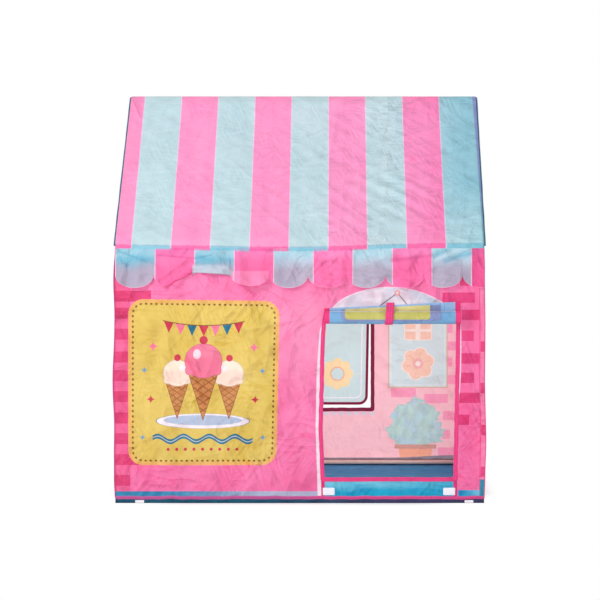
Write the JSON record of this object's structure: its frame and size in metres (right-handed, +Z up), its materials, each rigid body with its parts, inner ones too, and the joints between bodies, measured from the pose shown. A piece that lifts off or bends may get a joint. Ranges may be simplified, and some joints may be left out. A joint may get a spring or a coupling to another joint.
{
  "type": "kids play tent",
  "caption": "House-shaped fabric play tent on a socketed pole frame, with a striped awning roof, scalloped valance, roll-up door and flap window",
  "frame": {"origin": "centre of the floor's underside, where the tent stands on the ground", "axes": "+Z up, front with the doorway faces -Y, +X to the right of someone who faces the front"},
  "size_m": [0.93, 0.7253, 1.044],
  "materials": {
    "pole_plastic": "smooth white extruded tube",
    "joint_plastic": "moulded, fine grain",
    "wall_cloth": "printed polyester, brick print on pink",
    "gable_cloth": "plain blue polyester",
    "roof_cloth": "polyester, printed with pink and pale blue stripes",
    "valance_cloth": "polyester, printed with pink and blue stripes",
    "floor_cloth": "plain slate-blue polyester",
    "door_cloth": "printed polyester, sky blue",
    "flap_cloth": "printed polyester, pale blue",
    "crimson_tape": "woven binding tape",
    "teal_tape": "woven binding tape",
    "white_tape": "hook-and-loop and woven tape"
  },
  "bodies": {
    "tent": {"base_corner_front_left": "joint_plastic", "base_corner_front_right": "joint_plastic", "base_corner_back_left": "joint_plastic", "base_corner_back_right": "joint_plastic", "eave_corner_front_left": "joint_plastic", "eave_corner_front_right": "joint_plastic", "eave_corner_back_left": "joint_plastic", "eave_corner_back_right": "joint_plastic", "ridge_joint_left": "joint_plastic", "ridge_joint_right": "joint_plastic", "post_front_left": "pole_plastic", "post_front_right": "pole_plastic", "post_back_left": "pole_plastic", "post_back_right": "pole_plastic", "rafter_front_left": "pole_plastic", "rafter_front_right": "pole_plastic", "rafter_back_left": "pole_plastic", "rafter_back_right": "pole_plastic", "base_rail_left": "pole_plastic", "base_rail_right": "pole_plastic", "base_rail_front_left": "pole_plastic", "base_rail_front_right": "pole_plastic", "base_rail_back_left": "pole_plastic", "base_rail_back_right": "pole_plastic", "eave_rail_left": "pole_plastic", "eave_rail_right": "pole_plastic", "eave_rail_front_left": "pole_plastic", "eave_rail_front_right": "pole_plastic", "eave_rail_back_left": "pole_plastic", "eave_rail_back_right": "pole_plastic", "ridge_pole_left": "pole_plastic", "ridge_pole_right": "pole_plastic", "floor_sheet": "floor_cloth", "base_piping": "crimson_tape", "front_wall": "wall_cloth", "back_wall": "wall_cloth", "left_wall": "wall_cloth", "right_wall": "wall_cloth", "left_gable": "gable_cloth", "right_gable": "gable_cloth", "roof_front": "roof_cloth", "roof_back": "roof_cloth", "rake_piping_left": "teal_tape", "rake_piping_right": "teal_tape", "door_binding": "crimson_tape", "door_curtain": "door_cloth", "door_strap": "crimson_tape", "door_patch_left": "white_tape", "door_patch_right": "white_tape", "window_binding": "crimson_tape", "post_tie_front_left": "white_tape", "post_tie_front_right": "white_tape", "post_tie_back_left": "white_tape", "post_tie_back_right": "white_tape"},
    "door": {"door_roll": "door_cloth"},
    "flap": {"window_flap": "flap_cloth", "flap_binding": "crimson_tape"},
    "awning_edge": {"valance": "valance_cloth"}
  },
  "joints": [
    {"name": "door_unroll", "type": "slide", "parent": "tent", "child": "door", "axis": [0, 0, -1], "range_m": [0, 0.43], "deforming": ["door_curtain", "door_strap"]},
    {"name": "window_flap_swing", "type": "hinge", "parent": "tent", "child": "flap", "pos_m": [0, 0.3473, 0.506], "axis": [1, 0, 0], "range_deg": [0, 150]},
    {"name": "valance_lift", "type": "hinge", "parent": "tent", "child": "awning_edge", "pos_m": [0, -0.345, 0.6397], "axis": [-1, 0, 0], "range_deg": [0, 80]}
  ]
}
